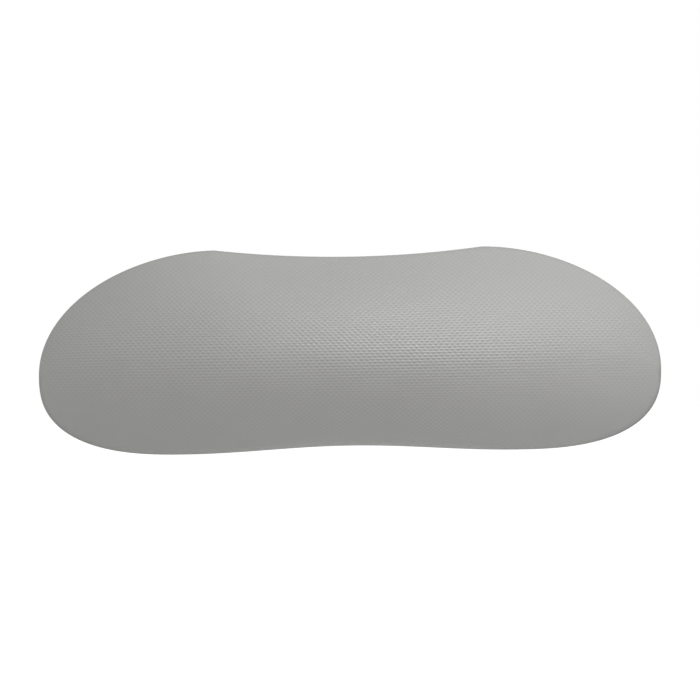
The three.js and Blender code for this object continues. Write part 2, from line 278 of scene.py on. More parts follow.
class Rim:
    """The outline, from the left tip over the top and back along the bottom, with its ridge points."""

    def __init__(self, stride=1):
        waist = EAR_X * np.arange(WAIST_STEPS) / WAIST_STEPS
        turn = np.pi / 2 * np.arange(END_STEPS + 1) / END_STEPS
        half = np.concatenate([waist, EAR_X + (HALF_WIDTH - EAR_X) * np.sin(turn)])[::stride]
        xs = np.concatenate([-half[:0:-1], half])
        over = np.stack([xs, top_edge(xs)], 1)
        under = np.stack([xs, bottom_edge(xs)], 1)[-2:0:-1]
        self.at = np.concatenate([over, under])
        self.count = len(self.at)
        along = np.roll(self.at, -1, 0) - np.roll(self.at, 1, 0)
        inward = np.stack([along[:, 1], -along[:, 0]], 1)
        self.inward = inward / np.linalg.norm(inward, axis=1, keepdims=True)
        self.part = np.abs(self.at[:, 0]) / HALF_WIDTH
        ridge_x = self.at[:, 0] * (1 - RIDGE_INSET / HALF_WIDTH * self.part**2)
        self.ridge = np.stack([ridge_x, RIDGE_Z - RIDGE_DROP * self.part**RIDGE_POWER], 1)
        outward = self.at - self.ridge
        self.reach = np.linalg.norm(outward, axis=1)
        self.outward = outward / self.reach[:, None]
        self.soft = self.softened()

    def softened(self):
        """The outline with the ears' corners rounded, which the crown follows away from the edge."""
        smooth = self.at.copy()
        for _ in range(EAR_SMOOTH_STEPS):
            smooth = (np.roll(smooth, 1, 0) + 2 * smooth + np.roll(smooth, -1, 0)) / 4
        near = np.exp(-(((np.abs(self.at[:, :1]) - EAR_X) / EAR_SOFTENING) ** 2))
        return self.at + near * (self.at[:, 1:] > 0) * (smooth - self.at)

    def flat_ring(self, inset, height):
        at = self.at + self.inward * inset
        return np.stack([at[:, 0], np.full(self.count, BACK_Y - height), at[:, 1]], 1)

    def ridge_ring(self, height):
        return np.stack([self.ridge[:, 0], np.full(self.count, BACK_Y - height), self.ridge[:, 1]], 1)

    def crown_rise(self, share):
        """Height between edge and crest, 0 to 1, at a share of the way from the ridge out to the edge."""
        upper = (1 + self.outward[:, 1]) / 2
        bend = LOWER_BEND + (UPPER_BEND - LOWER_BEND) * upper
        fall = LOWER_FALL + (UPPER_FALL - LOWER_FALL) * upper

        def softened(s):
            return (s**2 + RIDGE_SOFTNESS**2) ** (bend / 2) - RIDGE_SOFTNESS**bend

        return np.maximum(0, 1 - softened(share) / softened(1)) ** fall

    def crown_ring(self, inset, angle):
        """A ring of the crown, on the ridge at a quarter turn and on the rounded edge at zero."""
        share = max(0.0, math.cos(angle))
        edge_line = self.soft + (self.at - self.soft) * share**EAR_EDGE_POWER + self.inward * inset
        at = self.ridge + (edge_line - self.ridge) * share
        edge = EDGE_WAIST + (EDGE_TIP - EDGE_WAIST) * self.part**EDGE_POWER
        off_tip = 1 - ((at[:, 0] + self.ridge[:, 0]) / (2 * HALF_WIDTH)) ** 2
        crest = np.maximum(edge, EDGE_TIP + (CREST_HEIGHT - EDGE_TIP) * off_tip**CREST_POWER - inset)
        height = edge + (crest - edge) * self.crown_rise(share)
        into_round = np.clip(1 - self.reach * (1 - share) / EDGE_ROUND, 0, 1)
        fall = np.minimum(EDGE_ROUND_FALL, EDGE_ROUND_LIMIT * (edge - REAR_RADIUS))
        height -= fall * (1 - np.sqrt(1 - into_round**2))
        return np.stack([at[:, 0], BACK_Y - height, at[:, 1]], 1)

    def crown_rings(self, inset, steps):
        return [self.crown_ring(inset, math.pi / 2 * (1 - step / steps)) for step in range(steps + 1)]

    def roll_rings(self, inset, steps, end=math.pi / 2):
        """Rings of the rear edge, from the side of the pillow round towards its flat back."""
        radius = REAR_RADIUS - inset
        turns = [end * step / steps for step in range(steps + 1)]
        return [
            self.flat_ring(REAR_RADIUS - radius * math.cos(t), REAR_RADIUS - radius * math.sin(t))
            for t in turns
        ]


# Mesh building


def new_object(name, data):
    piece = bpy.data.objects.new(name, data)
    bpy.context.scene.collection.objects.link(piece)
    return piece


def shade(mesh):
    mesh.polygons.foreach_set("use_smooth", np.ones(len(mesh.polygons), bool))
    mesh.set_sharp_from_angle(angle=SHARP_ANGLE)


def outward_normals(mesh):
    shell = bmesh.new()
    shell.from_mesh(mesh)
    bmesh.ops.recalc_face_normals(shell, faces=shell.faces)
    if shell.calc_volume(signed=True) < 0:
        bmesh.ops.reverse_faces(shell, faces=shell.faces)
    shell.to_mesh(mesh)
    shell.free()


def loft(name, rings, folded):
    """Quads between closed rings of equal count. A folded ring lies on the ridge, its two halves as one."""
    count = len(rings[0])
    step = np.arange(count)
    points, index, base = [], [], 0
    for r, ring in enumerate(rings):
        fold = np.minimum(step, count - step) if r in folded else step
        used = count // 2 + 1 if r in folded else count
        points.append(ring[:used])
        index.append(base + fold)
        base += used
    faces = []
    for upper, lower in zip(index, index[1:]):
        quads = np.stack([upper, lower, np.roll(lower, -1), np.roll(upper, -1)], 1)
        faces.extend(quads.tolist())
    mesh = bpy.data.meshes.new(name)
    mesh.from_pydata(np.concatenate(points).tolist(), [], faces)
    outward_normals(mesh)
    shade(mesh)
    return new_object(name, mesh)


def rounded(corners):
    """A profile of (radius, height, fillet) corners, each bent softly over its fillet on both sides."""
    line = [np.array(c[:2]) for c in corners]
    out = []
    for i, at in enumerate(line):
        fillet = corners[i][2]
        if fillet <= 0 or i in (0, len(corners) - 1):
            out.append(tuple(at))
            continue
        before, after = line[i - 1] - at, line[i + 1] - at
        length_before, length_after = np.linalg.norm(before), np.linalg.norm(after)
        reach = min(fillet, FILLET_SHARE * length_before, FILLET_SHARE * length_after)
        a = at + before / length_before * reach
        b = at + after / length_after * reach
        for k in range(ROUND_STEPS + 1):
            t = k / ROUND_STEPS
            out.append(tuple((1 - t) ** 2 * a + 2 * t * (1 - t) * at + t**2 * b))
    return out


def turned(name, profile, centre):
    """A profile of (radius, height) pairs from axis to axis, turned about the line along Y at the centre."""
    x0, z0 = centre
    shell = bmesh.new()
    rings = []
    for radius, height in profile:
        if radius < TINY:
            rings.append([shell.verts.new((x0, BACK_Y - height, z0))])
            continue
        ring = []
        for k in range(LATHE_SIDES):
            a = 2 * math.pi * k / LATHE_SIDES
            x, z = x0 + radius * math.cos(a), z0 + radius * math.sin(a)
            ring.append(shell.verts.new((x, BACK_Y - height, z)))
        rings.append(ring)
    for first, second in zip(rings, rings[1:]):
        for k in range(LATHE_SIDES):
            j = (k + 1) % LATHE_SIDES
            corners = [first[k % len(first)], first[j % len(first)]]
            corners += [second[j % len(second)], second[k % len(second)]]
            distinct = list(dict.fromkeys(corners))
            if len(distinct) > 2:
                shell.faces.new(distinct)
    bmesh.ops.recalc_face_normals(shell, faces=shell.faces)
    mesh = bpy.data.meshes.new(name)
    shell.to_mesh(mesh)
    shell.free()
    shade(mesh)
    return new_object(name, mesh)


def prism(name, outline, low, high):
    """An outline in X and Z, closed between two heights."""
    shell = bmesh.new()
    near = [shell.verts.new((x, BACK_Y - low, z)) for x, z in outline]
    far = [shell.verts.new((x, BACK_Y - high, z)) for x, z in outline]
    shell.faces.new(near)
    shell.faces.new(far)
    for k in range(len(near)):
        j = (k + 1) % len(near)
        shell.faces.new((near[k], near[j], far[j], far[k]))
    bmesh.ops.recalc_face_normals(shell, faces=shell.faces)
    mesh = bpy.data.meshes.new(name)
    shell.to_mesh(mesh)
    shell.free()
    return new_object(name, mesh)


def oblong(centre, length, width):
    x, z = centre
    return [
        (x - length / 2, z - width / 2),
        (x + length / 2, z - width / 2),
        (x + length / 2, z + width / 2),
        (x - length / 2, z + width / 2),
    ]


def combine(piece, tools, operation):
    """Joins the tools to the piece, or cuts them from it, and removes them."""
    for tool in tools:
        step = piece.modifiers.new("combine", "BOOLEAN")
        step.operation = operation
        step.solver = "EXACT"
        step.object = tool
        bpy.context.view_layer.update()
        scene_now = bpy.context.evaluated_depsgraph_get()
        mesh = bpy.data.meshes.new_from_object(piece.evaluated_get(scene_now))
        piece.modifiers.clear()
        old = piece.data
        piece.data = mesh
        mesh.name = piece.name
        bpy.data.meshes.remove(old)
        bpy.data.meshes.remove(tool.data)
    shade(piece.data)
    return piece


# Pieces


def grained_cover(rim):
    """The skin: the crowned face, the rolled edge and the lip on the back, and the inside behind them."""
    outer = rim.crown_rings(0, CROWN_STEPS) + rim.roll_rings(0, ROLL_STEPS)
    lip = REAR_RADIUS + LIP_WIDTH
    turns = [math.pi / 2 * step / ROUND_STEPS for step in range(ROUND_STEPS + 1)]
    rounding = [
        rim.flat_ring(lip - LIP_ROUND * (1 - math.sin(t)), LIP_ROUND * (1 - math.cos(t)))
        for t in turns
    ]
    support = [rim.flat_ring(lip - LIP_ROUND - FLAT_SUPPORT, 0)]
    inner = [rim.flat_ring(lip, SKIN)] + rim.roll_rings(SKIN, ROLL_STEPS)[::-1]
    inner += rim.crown_rings(SKIN, INNER_CROWN_STEPS)[::-1]
    rings = outer + support + rounding + inner
    piece = loft("grained_cover", rings, folded=(0, len(rings) - 1))
    add_grain(piece.data, rim, rings)
    return piece


def add_grain(mesh, rim, rings):
    """The grain's coordinates, laid flat from the ridge, its two depths, and the weight of the shade painted
    along the rim.
    """
    stack = np.array(rings)
    steps = np.linalg.norm(np.diff(stack, axis=0), axis=2)
    way = np.concatenate([np.zeros((1, rim.count)), np.cumsum(steps, axis=0)])
    flat = rim.ridge[None] + rim.outward[None] * way[..., None]
    x, z = flat[..., 0], flat[..., 1]
    end_fade = 1 - GRAIN_END_LOSS * np.clip(x / HALF_WIDTH, -1, 1) ** 2
    # Bolder grain where the light brings it out; through the colour this is painted light
    bold = np.exp(-(((x - GRAIN_BOLD_X) / GRAIN_BOLD_REACH) ** 2))
    dash_swell = np.exp(-(((z - DASH_DEEPEST_Z) / DASH_REACH) ** 2))
    dash_depth = DASH_EDGE_DEPTH + (1 - DASH_EDGE_DEPTH) * dash_swell
    dash_depth *= end_fade * (DASH_BASE + DASH_BOLD_GAIN * bold)
    row_depth = np.exp(-(((z - ROW_DEEPEST_Z) / ROW_REACH) ** 2))
    row_depth *= end_fade * (ROW_BASE + ROW_BOLD_GAIN * bold)
    # Weight of the painted shade along the rim: highest on the rim line, wider and stronger on the underside
    under = np.clip(RIM_SHADE_UNDER_FROM - rim.outward[:, 1], 0, 1)
    spread = (way - way[CROWN_STEPS]) / (RIM_SHADE_WIDTH * (1 + under))
    painted_edge_shade_weight = (1 + RIM_SHADE_UNDER_GAIN * under) * np.exp(-(spread**2))
    values = np.stack([x, z, dash_depth, painted_edge_shade_weight, row_depth], 2).astype(np.float32)
    half = rim.count // 2 + 1
    body = values[1:-1].reshape(-1, values.shape[2])
    kept = np.concatenate([values[0, :half], body, values[-1, :half]])
    layer = mesh.attributes.new("grain", "FLOAT_VECTOR", "POINT")
    layer.data.foreach_set("vector", kept[:, :3].ravel())
    # The rim attribute holds the weight of the painted rim shade
    for name, column in (("rim", 3), ("row_depth", 4)):
        layer = mesh.attributes.new(name, "FLOAT", "POINT")
        layer.data.foreach_set("value", kept[:, column].copy())


def foam_body(rim):
    """The foam: the crown under the skin, flat at the back, with rooms for the plate, wells and sockets."""
    inset = SKIN + GAP
    back = PANEL_INNER + GAP
    end = math.asin((REAR_RADIUS - back) / (REAR_RADIUS - inset))
    rings = rim.crown_rings(inset, FOAM_CROWN_STEPS) + rim.roll_rings(inset, FOAM_ROLL_STEPS, end)
    rings.append(rim.ridge_ring(back))
    piece = loft("foam_body", rings, folded=(0, len(rings) - 1))
    slot = (rim.at + rim.inward * (PLATE_INSET - GAP)).tolist()
    room = prism("plate_room", slot, PLATE_BACK - GAP, PLATE_FRONT + GAP)
    low, high = PLATE_BACK - 2 * CUT_OVERRUN, PLATE_FRONT + 2 * CUT_OVERRUN
    radius = KEY_HOLE_RADIUS - GAP
    profile = [(0, low), (radius, low), (radius, high), (0, high)]
    key_holes = []
    for k in range(KEY_HOLE_COUNT):
        x = (k - (KEY_HOLE_COUNT - 1) / 2) * KEY_HOLE_PITCH
        key_holes.append(turned("key_hole", profile, (x, 0)))
    combine(room, key_holes, "DIFFERENCE")
    tools = [room]
    for side in (-1, 1):
        rib = oblong((0, side * RIB_SPACING / 2), RIB_LENGTH + 2 * GAP, RIB_WIDTH + 2 * GAP)
        tools.append(prism("rib_room", rib, PLATE_BACK, PLATE_FRONT + RIB_HEIGHT + GAP))
    for name in CUPS:
        profile = [
            (0, back - CUT_OVERRUN),
            (WELL_RADIUS + WELL_WALL + GAP, back - CUT_OVERRUN),
            (WELL_RADIUS + WELL_WALL + GAP, PLATE_BACK),
            (FLANGE_RADIUS + GAP, PLATE_BACK),
            (FLANGE_RADIUS + GAP, FLANGE_FRONT + GAP),
            (CAN_RADIUS + GAP, FLANGE_FRONT + GAP),
            (CAN_RADIUS + GAP, CAN_OUTER + GAP),
            (0, CAN_OUTER + GAP),
        ]
        tools.append(turned("socket_room", profile, cup_centre(name)))
    return combine(piece, tools, "DIFFERENCE")


def rear_panel(rim):
    """The smooth rear moulding: a flat panel lapped under the lip, with four round wells."""
    shell = bmesh.new()

    def rim_loop(inset, height):
        return [shell.verts.new(p) for p in rim.flat_ring(inset, height)]

    def well_loop(centre, radius, height):
        x, z = centre
        turns = [2 * math.pi * k / LATHE_SIDES for k in range(LATHE_SIDES)]
        return [
            shell.verts.new((x + radius * math.cos(a), BACK_Y - height, z + radius * math.sin(a)))
            for a in turns
        ]

    def bridge(loops):
        for first, second in zip(loops, loops[1:]):
            for k in range(len(first)):
                j = (k + 1) % len(first)
                shell.faces.new((first[k], first[j], second[j], second[k]))

    def fill(loops):
        edges = [shell.edges.get((loop[k - 1], loop[k])) for loop in loops for k in range(len(loop))]
        bmesh.ops.triangle_fill(shell, use_beauty=True, use_dissolve=False, edges=edges)

    inset = REAR_RADIUS + LIP_WIDTH + GAP
    lap = inset - LAP_WIDTH
    turns = [math.pi / 2 * step / ROUND_STEPS for step in range(ROUND_STEPS + 1)]
    border = [rim_loop(inset + PANEL_ROUND + FLAT_SUPPORT, 0)]
    border += [
        rim_loop(inset + PANEL_ROUND * (1 - math.sin(t)), PANEL_ROUND * (1 - math.cos(t)))
        for t in turns
    ]
    border += [rim_loop(inset, LAP_STEP), rim_loop(lap, LAP_STEP), rim_loop(lap, PANEL_INNER)]
    border += [rim_loop(lap + FLAT_SUPPORT, PANEL_INNER)]
    bridge(border)
    mouths, pots = [border[0]], [border[-1]]
    for name in CUPS:
        centre = cup_centre(name)
        outer = WELL_RADIUS + WELL_WALL
        profile = [(WELL_RADIUS + WELL_MOUTH_ROUND + FLAT_SUPPORT, 0)]
        profile += rounded(
            [
                (WELL_RADIUS + WELL_MOUTH_ROUND, 0, 0),
                (WELL_RADIUS, 0, WELL_MOUTH_ROUND),
                (WELL_RADIUS - WELL_DRAFT, WELL_DEPTH, WELL_FLOOR_ROUND),
                (BARREL_HOLE, WELL_DEPTH, LIP_ROUND),
                (BARREL_HOLE, FLOOR_INNER, LIP_ROUND),
                (outer, FLOOR_INNER, WELL_FLOOR_ROUND),
                (outer, PANEL_INNER, 0),
            ]
        )
        profile += [(outer + FLAT_SUPPORT, PANEL_INNER)]
        loops = [well_loop(centre, radius, height) for radius, height in profile]
        bridge(loops)
        mouths.append(loops[0])
        pots.append(loops[-1])
    fill(mouths)
    fill(pots)
    bmesh.ops.recalc_face_normals(shell, faces=shell.faces)
    mesh = bpy.data.meshes.new("rear_panel")
    shell.to_mesh(mesh)
    shell.free()
    shade(mesh)
    return new_object("rear_panel", mesh)


def snap_socket(name):
    """A turned socket: a catch that snaps behind the panel, two crossed slits, a flange and a closed can."""
    centre = cup_centre(name)
    profile = rounded(
        [
            (0, CAN_OUTER, 0),
            (CAN_RADIUS, CAN_OUTER, CAN_ROUND),
            (CAN_RADIUS, FLANGE_FRONT, CAN_ROOT_ROUND),
            (FLANGE_RADIUS, FLANGE_FRONT, FLANGE_ROUND),
            (FLANGE_RADIUS, FLANGE_BACK, FLANGE_ROUND),
            (BARREL_RADIUS, FLANGE_BACK, BARREL_ROUND),
            (BARREL_RADIUS, CATCH_FRONT, BARREL_ROUND),
            (CATCH_RADIUS, CATCH_FRONT, CATCH_ROUND),
            (BARREL_RADIUS, CATCH_BACK, MOUTH_ROUND),
            (MOUTH_RADIUS + MOUTH_FLARE, CATCH_BACK, MOUTH_ROUND),
            (MOUTH_RADIUS, CATCH_BACK + MOUTH_FLARE, MOUTH_ROUND),
            (MOUTH_RADIUS, MOUTH_END, HEAD_ROOM_ROUND),
            (HEAD_ROOM_RADIUS, MOUTH_END, HEAD_ROOM_ROUND),
            (HEAD_ROOM_RADIUS, CAN_INNER, CAN_INNER_ROUND),
            (0, CAN_INNER, 0),
        ]
    )
    piece = turned("snap_socket_" + name, profile, centre)
    low, high = CATCH_BACK - CUT_OVERRUN, CATCH_BACK + SLIT_LENGTH
    reach = 2 * (CATCH_RADIUS + CUT_OVERRUN)
    slits = [
        prism("slit", oblong(centre, reach, SLIT_WIDTH), low, high),
        prism("slit", oblong(centre, SLIT_WIDTH, reach), low, high),
    ]
    return combine(piece, slits, "DIFFERENCE")


def vinyl_cup(name):
    """A one-piece cup: a thin dish with a flat land, a hub, a neck, a mushroom head and a pull tab."""
    centre = cup_centre(name)
    land = CUP_RADIUS - RIM_LAND
    inside, back = [], []
    for step in range(DISH_STEPS + 1):
        share = step / DISH_STEPS
        inner = land * share
        inside.append((inner, WALL + DISH_DEPTH * (1 - (inner / land) ** 2)))
        outer = CUP_RADIUS + (HUB_RADIUS - CUP_RADIUS) * share
        thickness = RIM + DISH_THICKENING * (1 - outer / CUP_RADIUS)
        back.append((outer, WALL + thickness + DISH_DEPTH * (1 - (outer / CUP_RADIUS) ** 2)))
    rim_edge = rounded(
        [
            (land, WALL, 0),
            (CUP_RADIUS, WALL, RIM_ROUND),
            (CUP_RADIUS, WALL + RIM, RIM_ROUND),
            back[1] + (0,),
        ]
    )
    head = rounded(
        [
            back[-2] + (0,),
            back[-1] + (HUB_ROOT_ROUND,),
            (HUB_RADIUS, NECK_START, HUB_ROUND),
            (NECK_RADIUS, NECK_START, NECK_ROUND),
            (NECK_RADIUS, HEAD_START, NECK_ROUND),
            (HEAD_RADIUS, HEAD_START, NECK_ROUND),
            (HEAD_RADIUS, HEAD_START + HEAD_SKIRT, HEAD_ROUND),
            (HEAD_TIP_RADIUS, HEAD_END, HEAD_TIP_ROUND),
            (0, HEAD_END, 0),
        ]
    )
    profile = inside[:-1] + rim_edge + back[2:-2] + head
    piece = turned("vinyl_cup_" + name, profile, centre)
    return combine(piece, [pull_tab(centre)], "UNION")


def pull_tab(centre):
    """The tab by which a cup is peeled off, below its rim, with a rounded end and softened edges."""
    x0, z0 = centre
    half = TAB_WIDTH / 2
    root = z0 - (CUP_RADIUS - RIM_LAND / 2)
    tip = z0 - CUP_RADIUS - TAB_REACH + half
    turns = [math.pi + math.pi * k / TAB_STEPS for k in range(TAB_STEPS + 1)]
    outline = [(x0 + half, root), (x0 - half, root)]
    outline += [(x0 + half * math.cos(a), tip + half * math.sin(a)) for a in turns]
    low = WALL + TAB_LIFT
    tab = prism("pull_tab", outline, low, low + TAB)
    shell = bmesh.new()
    shell.from_mesh(tab.data)
    edges = [e for e in shell.edges if abs(e.verts[0].co.y - e.verts[1].co.y) < TINY]
    bmesh.ops.bevel(
        shell, geom=edges, offset=TAB_ROUND, segments=TAB_ROUND_STEPS, affect="EDGES", profile=0.5
    )
    shell.to_mesh(tab.data)
    shell.free()
    return tab


# Materials

# Grained skin
SKIN_DARK = (0.166, 0.165, 0.158)
SKIN_LIGHT = (0.407, 0.405, 0.396)
SKIN_CLOUD_SCALE = 14.0
# How strongly the grain's height sets its colour: painted shade in the valleys and painted light on the
# raised threads
GRAIN_PAINTED_SHADE = 0.75
CLOUD_TONE = 0.25
# Depth of the shade painted along the rim
PAINTED_RIM_SHADE_DEPTH = 0.30
TONE_LOW = -0.66
TONE_HIGH = 0.84
VALLEY_ROUGHNESS = 0.685
PEAK_ROUGHNESS = 0.135
SHALLOW_ROUGHNESS = 0.30
POLISHED_DEPTH = 0.85
GRAIN_BUMP = 0.97
GRAIN_RELIEF = 0.00025

# Smooth rear skin
PANEL_DARK = (0.27, 0.27, 0.268)
PANEL_LIGHT = (0.31, 0.31, 0.308)
PANEL_CLOUD_SCALE = 18.0
PANEL_ROUGHNESS = (0.52, 0.66)
PEBBLE_SCALE = 900.0
PEBBLE_BUMP = 0.35
PEBBLE_RELIEF = 0.0001

# Foam
FOAM_DARK = (0.58, 0.55, 0.46)
FOAM_LIGHT = (0.74, 0.71, 0.62)
FOAM_ROUGHNESS = (0.88, 0.98)
PORE_SCALE = 700.0
PORE_BUMP = 0.8
PORE_RELIEF = 0.0006

# Moulded plastic of the plate and the sockets
PLATE_DARK = (0.70, 0.70, 0.67)
PLATE_LIGHT = (0.78, 0.78, 0.75)
SOCKET_DARK = (0.74, 0.74, 0.71)
SOCKET_LIGHT = (0.82, 0.82, 0.80)
PLASTIC_CLOUD_SCALE = 60.0
PLASTIC_ROUGHNESS = (0.36, 0.5)
PLASTIC_FINE_SCALE = 2500.0
PLASTIC_BUMP = 0.12
PLASTIC_RELIEF = 0.00005

# Clear vinyl of the cups
VINYL_DARK = (0.86, 0.91, 0.92)
VINYL_LIGHT = (0.93, 0.96, 0.965)
VINYL_CLOUD_SCALE = 90.0
VINYL_ROUGHNESS = (0.12, 0.24)
VINYL_BUMP = 0.06
VINYL_RELIEF = 0.0002


def add_node(tree, kind, inputs=None, **settings):
    node = tree.nodes.new(kind)
    for key, value in settings.items():
        setattr(node, key, value)
    for key, value in (inputs or {}).items():
        if isinstance(value, bpy.types.NodeSocket):
            tree.links.new(value, node.inputs[key])
        else:
            node.inputs[key].default_value = value
    return node


def calc(tree, operation, *values):
    node = add_node(tree, "ShaderNodeMath", dict(enumerate(values)), operation=operation)
    return node.outputs[0]


def new_material(name, **sockets):
    material = bpy.data.materials.new(name)
    material.use_nodes = True
    tree = material.node_tree
    surface = tree.nodes["Principled BSDF"]
    for key, value in sockets.items():
        surface.inputs[key.replace("_", " ")].default_value = value
    return material, tree, surface


def place_of(tree):
    return add_node(tree, "ShaderNodeTexCoord").outputs["Object"]


def noise(tree, scale, detail):
    inputs = {"Vector": place_of(tree), "Scale": scale, "Detail": detail, "Roughness": 0.5}
    return add_node(tree, "ShaderNodeTexNoise", inputs).outputs["Fac"]


def tone(tree, factor, dark, light):
    """A colour between two tones, dark where the factor is 0 and light where it is 1."""
    ramp = add_node(tree, "ShaderNodeValToRGB", {"Fac": factor})
    ramp.color_ramp.elements[0].color = (*dark, 1)
    ramp.color_ramp.elements[1].color = (*light, 1)
    return ramp.outputs["Color"]


def bump(tree, height, strength, distance):
    inputs = {"Height": height, "Strength": strength, "Distance": distance}
    return add_node(tree, "ShaderNodeBump", inputs).outputs["Normal"]


def span(tree, value, low, high, to_low, to_high):
    inputs = {"Value": value, "From Min": low, "From Max": high, "To Min": to_low, "To Max": to_high}
    return add_node(tree, "ShaderNodeMapRange", inputs).outputs["Result"]


def attribute(tree, name, output):
    return add_node(tree, "ShaderNodeAttribute", attribute_name=name).outputs[output]


def link_surface(tree, surface, colour, roughness, normal):
    tree.links.new(colour, surface.inputs["Base Color"])
    tree.links.new(roughness, surface.inputs["Roughness"])
    tree.links.new(normal, surface.inputs["Normal"])


def weave_height(tree):
    """Height of the grain and depth of its dashes. A row's dashes lie half a cell beside the next row's."""
    split = add_node(tree, "ShaderNodeSeparateXYZ", {"Vector": attribute(tree, "grain", "Vector")})
    sway = span(tree, noise(tree, SWAY_SCALE, detail=1.0), 0, 1, -THREAD_SWAY, THREAD_SWAY)
    along = calc(tree, "ADD", split.outputs["X"], sway)
    up = calc(tree, "ADD", split.outputs["Y"], calc(tree, "MULTIPLY", sway, SWAY_UP_SHARE))
    row = calc(tree, "MULTIPLY", up, math.pi / ROW_PITCH)
    cell = calc(tree, "COSINE", calc(tree, "MULTIPLY", along, math.pi / CELL_PITCH))
    threads = calc(tree, "COSINE", calc(tree, "MULTIPLY", row, 2.0))
    dashes = calc(tree, "MULTIPLY", cell, calc(tree, "COSINE", calc(tree, "ADD", row, DASH_SHIFT)))
    depth = split.outputs["Z"]
    row_depth = attribute(tree, "row_depth", "Fac")
    rows = calc(tree, "MULTIPLY", threads, calc(tree, "MULTIPLY", row_depth, -ROW_RISE))
    relief = calc(tree, "MULTIPLY_ADD", dashes, calc(tree, "MULTIPLY", depth, DASH_RISE), rows)
    return calc(tree, "ADD", relief, MIDDLE_HEIGHT), depth


def grained_skin():
    material, tree, surface = new_material("grained_skin_satin", Specular_IOR_Level=0.5)
    height, depth = weave_height(tree)
    cloud = noise(tree, SKIN_CLOUD_SCALE, detail=3.0)
    clouding = calc(tree, "MULTIPLY", cloud, CLOUD_TONE)
    # Painted shade: the skin's colour darkens along the rim
    painted_rim_shade = calc(tree, "MULTIPLY", attribute(tree, "rim", "Fac"), PAINTED_RIM_SHADE_DEPTH)
    # Colour: painted shade in the grain's valleys and painted light on its threads, plus a random clouded
    # tone
    mix = calc(tree, "ADD", calc(tree, "MULTIPLY", height, GRAIN_PAINTED_SHADE), clouding)
    mix = calc(tree, "SUBTRACT", mix, painted_rim_shade)
    colour = tone(tree, span(tree, mix, TONE_LOW, TONE_HIGH, 0, 1), SKIN_DARK, SKIN_LIGHT)
    shallow = span(tree, depth, 0, POLISHED_DEPTH, SHALLOW_ROUGHNESS, 0)
    weave = span(tree, height, 0, 1, VALLEY_ROUGHNESS, PEAK_ROUGHNESS)
    normal = bump(tree, height, GRAIN_BUMP, GRAIN_RELIEF)
    link_surface(tree, surface, colour, calc(tree, "ADD", weave, shallow), normal)
    return material


def smooth_skin():
    material, tree, surface = new_material("smooth_skin_matt", Specular_IOR_Level=0.35)
    inputs = {"Vector": place_of(tree), "Scale": PEBBLE_SCALE}
    pebble = add_node(tree, "ShaderNodeTexVoronoi", inputs, feature="SMOOTH_F1").outputs["Distance"]
    cloud = noise(tree, PANEL_CLOUD_SCALE, detail=3.0)
    colour = tone(tree, cloud, PANEL_DARK, PANEL_LIGHT)
    normal = bump(tree, pebble, PEBBLE_BUMP, PEBBLE_RELIEF)
    link_surface(tree, surface, colour, span(tree, cloud, 0, 1, *PANEL_ROUGHNESS), normal)
    return material


def foam():
    material, tree, surface = new_material("open_cell_foam", Specular_IOR_Level=0.1)
    inputs = {"Vector": place_of(tree), "Scale": PORE_SCALE}
    pores = add_node(tree, "ShaderNodeTexVoronoi", inputs).outputs["Distance"]
    colour = tone(tree, pores, FOAM_DARK, FOAM_LIGHT)
    normal = bump(tree, pores, PORE_BUMP, PORE_RELIEF)
    link_surface(tree, surface, colour, span(tree, pores, 0, 1, *FOAM_ROUGHNESS), normal)
    return material


def moulded_plastic(name, dark, light):
    material, tree, surface = new_material(name, Specular_IOR_Level=0.5)
    cloud = noise(tree, PLASTIC_CLOUD_SCALE, detail=4.0)
    fine = noise(tree, PLASTIC_FINE_SCALE, detail=2.0)
    colour = tone(tree, cloud, dark, light)
    normal = bump(tree, fine, PLASTIC_BUMP, PLASTIC_RELIEF)
    link_surface(tree, surface, colour, span(tree, cloud, 0, 1, *PLASTIC_ROUGHNESS), normal)
    return material


def clear_vinyl():
    material, tree, surface = new_material("clear_vinyl", IOR=1.5, Transmission_Weight=0.9)
    cloud = noise(tree, VINYL_CLOUD_SCALE, detail=3.0)
    colour = tone(tree, cloud, VINYL_DARK, VINYL_LIGHT)
    normal = bump(tree, cloud, VINYL_BUMP, VINYL_RELIEF)
    link_surface(tree, surface, colour, span(tree, cloud, 0, 1, *VINYL_ROUGHNESS), normal)
    return material


# Stage, light and camera

FLOOR_CLEARANCE = 0.10
FLOOR_SIZE = 8.0
FLOOR_GLOW = 0.83
FLOOR_TONE = 0.5
FLOOR_BOUNCE = 0.775
WORLD_LIGHT = 0.52
WHITE = (1, 1, 1, 1)

STAGE_MIDDLE = (0, -0.03, 0)
LAMP_SPREAD = 0.38

# Name, azimuth and elevation in degrees, distance in metres and power in watts
LAMPS = (
    ("overhead", 15, 60, 0.7, 1.08),
    ("front", 25, 25, 0.7, 0.80),
    ("front_right", 35, 35, 0.7, 0.40),
    ("far_right", 70, 40, 1.4, 3.4),
    ("low_left", -95, -9, 0.7, 0.45),
    ("rear", 150, 10, 1.4, 3.5),
)

CAMERA_DISTANCE = 1.3
OUTLINE_PLANE_Y = -0.020
SENSOR_MM = 36.0
VIEW_WIDTH = 0.4362
CAMERA_AIM = (0.0002, 0.0009)
CAMERA_ROLL = math.radians(-0.87)


def seen_directly(tree):
    """1 where a camera, mirror or glass ray arrives, and 0 for light that falls on the object."""
    path = add_node(tree, "ShaderNodeLightPath")
    seen = calc(tree, "MAXIMUM", path.outputs["Is Camera Ray"], path.outputs["Is Glossy Ray"])
    return calc(tree, "MAXIMUM", seen, path.outputs["Is Transmission Ray"])


def mixed(tree, factor, first, second):
    """The first shader where the factor is 0, and the second where it is 1."""
    inputs = {0: factor, 1: first.outputs[0], 2: second.outputs[0]}
    return add_node(tree, "ShaderNodeMixShader", inputs)


